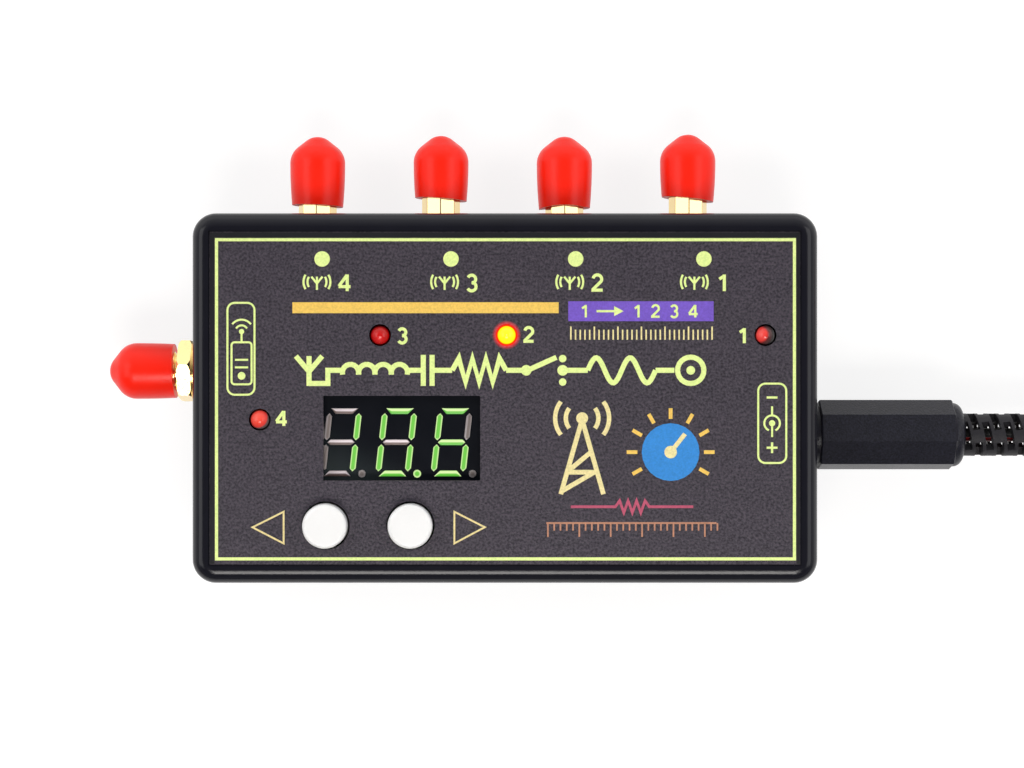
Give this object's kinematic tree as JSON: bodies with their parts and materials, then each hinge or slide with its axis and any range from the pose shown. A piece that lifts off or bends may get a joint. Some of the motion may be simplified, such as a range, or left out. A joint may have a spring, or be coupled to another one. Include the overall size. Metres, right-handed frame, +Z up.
{
  "type": "coaxial antenna switch",
  "caption": "Flat box that switches a radio's coaxial jack between antenna jacks, with a digit display, lamps, push buttons, dust caps and a DC plug on a twin lead.",
  "frame": {"origin": "middle of the case's underside", "axes": "+X to the right along the face, towards the DC plug; +Y towards the antenna jacks; +Z up out of the face"},
  "size_m": [0.2418, 0.0729, 0.0274],
  "materials": {
    "case_plastic": "glossy black moulded plastic",
    "label_print": "dark charcoal printed plastic sheet",
    "zinc_steel": "zinc-plated steel",
    "fibreglass": "green solder-masked fibreglass board",
    "chip_black": "moulded black epoxy",
    "can_aluminium": "drawn aluminium can",
    "can_nickel": "nickel-plated can",
    "chip_ceramic": "fired ceramic with tinned ends",
    "gold_plate": "gold-plated brass",
    "ptfe": "white fluoropolymer",
    "nut_gold": "gold-plated brass, turned",
    "washer_gold": "gold-plated spring bronze",
    "cap_vinyl": "glossy soft red vinyl",
    "display_black": "blue-black filled plastic face",
    "segment_lit": "green, lit",
    "segment_unlit": "milky grey diffuser",
    "tinned_wire": "tinned copper",
    "lens_red": "clear red epoxy",
    "lens_yellow": "diffused yellow epoxy, lit",
    "button_white": "smooth white plastic",
    "switch_black": "black moulded plastic",
    "spring_steel": "stainless spring steel",
    "plug_black": "black moulded plastic with a soft sheen",
    "relief_black": "charcoal soft plastic",
    "lead_jacket": "red and black twin lead insulation"
  },
  "bodies": {
    "case": {"lid": "case_plastic", "base": "case_plastic", "face_label": "label_print", "case_screws": "zinc_steel", "circuit_board": "fibreglass", "board_screws": "zinc_steel", "rf_relays": "chip_black", "microcontroller": "chip_black", "relay_driver": "chip_black", "voltage_regulator": "chip_black", "electrolytic_capacitors": "can_aluminium", "crystal": "can_nickel", "chip_parts": "chip_ceramic", "display_housing": "display_black", "display_segments_lit": "segment_lit", "display_segments_unlit": "segment_unlit", "display_pins": "tinned_wire", "display_sockets": "switch_black", "led_leads": "tinned_wire", "led_lens_1": "lens_red", "led_lens_2": "lens_yellow", "led_lens_3": "lens_red", "led_lens_4": "lens_red", "left_switch_body": "switch_black", "right_switch_body": "switch_black", "switch_covers": "spring_steel", "left_snap_dome": "spring_steel", "right_snap_dome": "spring_steel", "antenna_jack_1": "gold_plate", "antenna_jack_2": "gold_plate", "antenna_jack_3": "gold_plate", "antenna_jack_4": "gold_plate", "radio_jack": "gold_plate", "radio_nut": "nut_gold", "radio_washer": "washer_gold", "jack_insulators": "ptfe", "jack_contacts": "gold_plate", "inlet_housing": "switch_black", "inlet_pin": "tinned_wire", "inlet_spring": "tinned_wire"},
    "left_button": {"left_button_cap": "button_white", "left_switch_plunger": "switch_black"},
    "right_button": {"right_button_cap": "button_white", "right_switch_plunger": "switch_black"},
    "antenna_1_cap": {"dust_cap_1": "cap_vinyl"},
    "antenna_2_cap": {"dust_cap_2": "cap_vinyl"},
    "antenna_3_cap": {"dust_cap_3": "cap_vinyl"},
    "antenna_4_cap": {"dust_cap_4": "cap_vinyl"},
    "radio_cap": {"dust_cap_radio": "cap_vinyl"},
    "dc_plug": {"plug_sleeve": "tinned_wire", "plug_insulator": "switch_black", "plug_contact": "tinned_wire", "plug_cover": "plug_black", "plug_strain_relief": "relief_black", "dc_lead": "lead_jacket", "dc_lead_coil": "lead_jacket", "dc_lead_ends": "tinned_wire"}
  },
  "joints": [
    {"name": "left_button_press", "type": "slide", "parent": "case", "child": "left_button", "axis": [0, 0, -1], "range_m": [0, 0.0003], "stiffness_N_per_m": 300, "springref_m": -0.001, "deforming": ["left_snap_dome"]},
    {"name": "right_button_press", "type": "slide", "parent": "case", "child": "right_button", "axis": [0, 0, -1], "range_m": [0, 0.0003], "stiffness_N_per_m": 300, "springref_m": -0.001, "deforming": ["right_snap_dome"]},
    {"name": "antenna_1_cap_pull", "type": "slide", "parent": "case", "child": "antenna_1_cap", "axis": [0, 1, 0], "range_m": [0, 0.012]},
    {"name": "antenna_2_cap_pull", "type": "slide", "parent": "case", "child": "antenna_2_cap", "axis": [0, 1, 0], "range_m": [0, 0.012]},
    {"name": "antenna_3_cap_pull", "type": "slide", "parent": "case", "child": "antenna_3_cap", "axis": [0, 1, 0], "range_m": [0, 0.012]},
    {"name": "antenna_4_cap_pull", "type": "slide", "parent": "case", "child": "antenna_4_cap", "axis": [0, 1, 0], "range_m": [0, 0.012]},
    {"name": "radio_cap_pull", "type": "slide", "parent": "case", "child": "radio_cap", "axis": [-1, 0, 0], "range_m": [0, 0.012]},
    {"name": "dc_plug_pull", "type": "slide", "parent": "case", "child": "dc_plug", "axis": [1, 0, 0], "range_m": [0, 0.012]}
  ]
}
